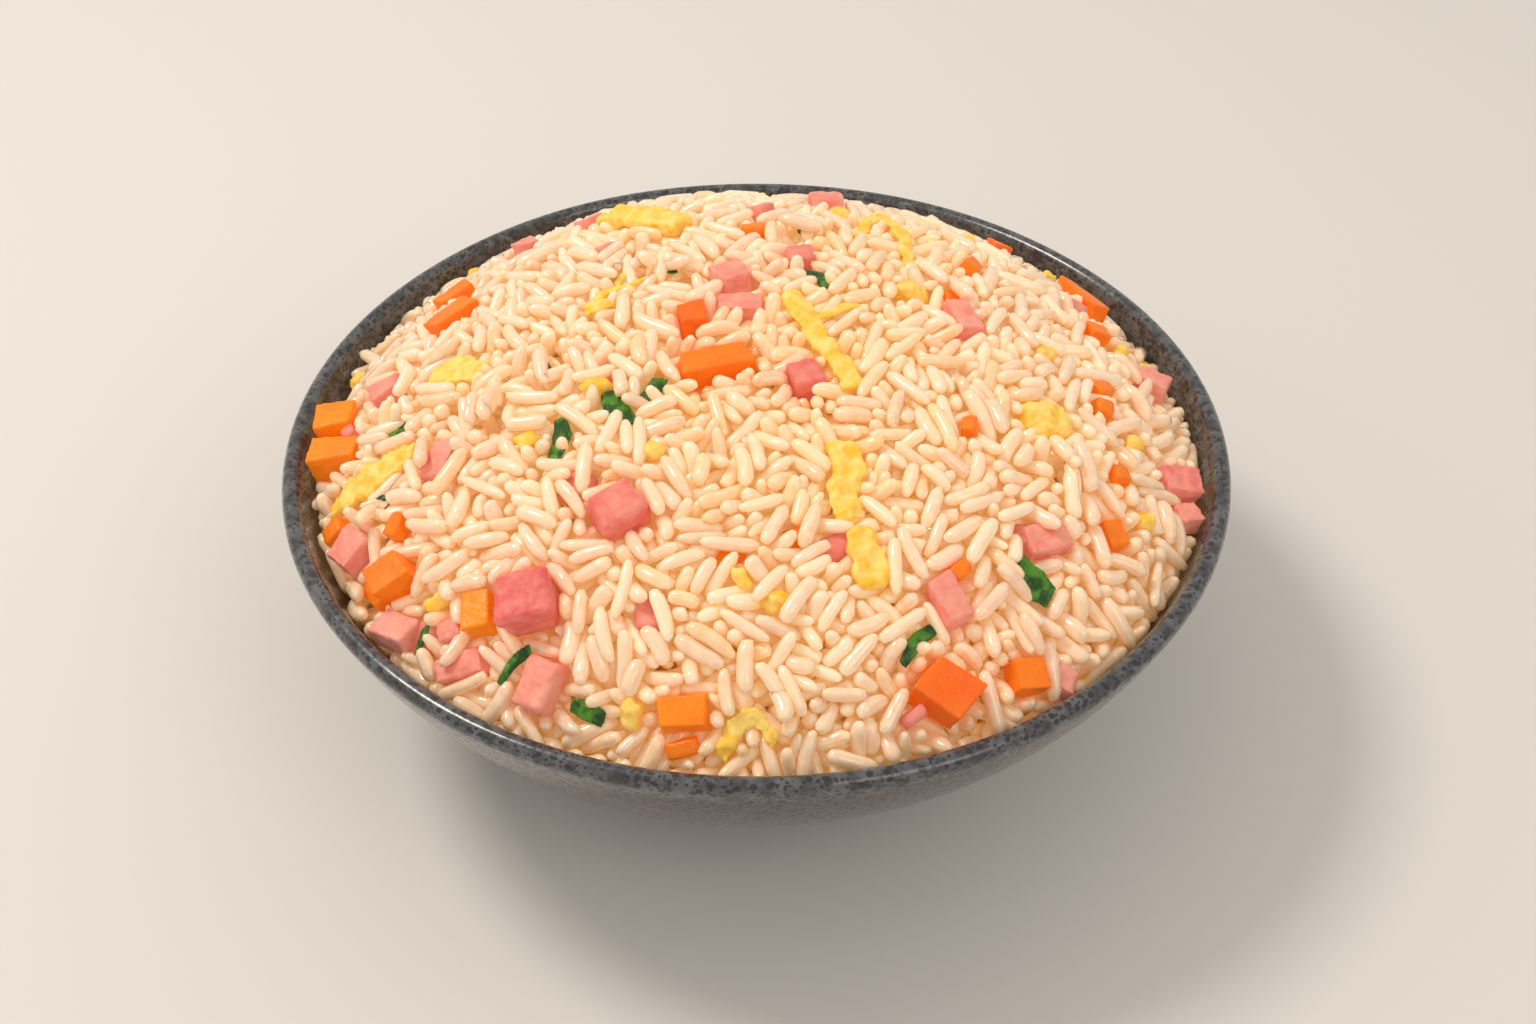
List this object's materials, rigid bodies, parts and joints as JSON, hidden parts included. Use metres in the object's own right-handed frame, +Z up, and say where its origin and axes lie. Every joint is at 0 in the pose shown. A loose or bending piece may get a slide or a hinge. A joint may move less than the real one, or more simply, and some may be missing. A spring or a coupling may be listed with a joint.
{
  "type": "bowl of fried rice",
  "caption": "Speckled stoneware bowl heaped with long-grain fried rice, with diced ham, diced carrot, egg pieces and shreds, and sliced scallion greens.",
  "frame": {"origin": "centre of the bowl's foot, on the surface it stands on", "axes": "+Z up along the bowl's axis; the side that faces the viewer in the picture is -Y, and +X is to the viewer's right"},
  "size_m": [0.16, 0.16, 0.072],
  "materials": {
    "glaze": "glossy speckled dark grey glaze",
    "rice": "moist, slightly glossy",
    "ham": "moist",
    "carrot": "moist, slightly glossy",
    "egg": "soft satin",
    "scallion": "glossy leaf"
  },
  "bodies": {
    "root": {"bowl": "glaze", "rice_heap": "rice", "ham_01": "ham", "ham_02": "ham", "ham_03": "ham", "ham_04": "ham", "ham_05": "ham", "ham_06": "ham", "ham_07": "ham", "ham_08": "ham", "ham_09": "ham", "ham_10": "ham", "ham_11": "ham", "ham_12": "ham", "ham_13": "ham", "ham_14": "ham", "ham_15": "ham", "ham_16": "ham", "ham_17": "ham", "ham_18": "ham", "ham_19": "ham", "ham_20": "ham", "ham_21": "ham", "carrot_01": "carrot", "carrot_02": "carrot", "carrot_03": "carrot", "carrot_04": "carrot", "carrot_05": "carrot", "carrot_06": "carrot", "carrot_07": "carrot", "carrot_08": "carrot", "carrot_09": "carrot", "carrot_10": "carrot", "carrot_11": "carrot", "carrot_12": "carrot", "carrot_13": "carrot", "carrot_14": "carrot", "carrot_15": "carrot", "egg_01": "egg", "egg_02": "egg", "egg_03": "egg", "egg_04": "egg", "egg_05": "egg", "egg_06": "egg", "egg_07": "egg", "egg_08": "egg", "egg_09": "egg", "egg_10": "egg", "egg_11": "egg", "egg_12": "egg", "scallion_01": "scallion", "scallion_02": "scallion", "scallion_03": "scallion", "scallion_04": "scallion", "scallion_05": "scallion", "scallion_06": "scallion", "scallion_07": "scallion", "scallion_08": "scallion", "scallion_09": "scallion", "scallion_10": "scallion"}
  },
  "joints": []
}
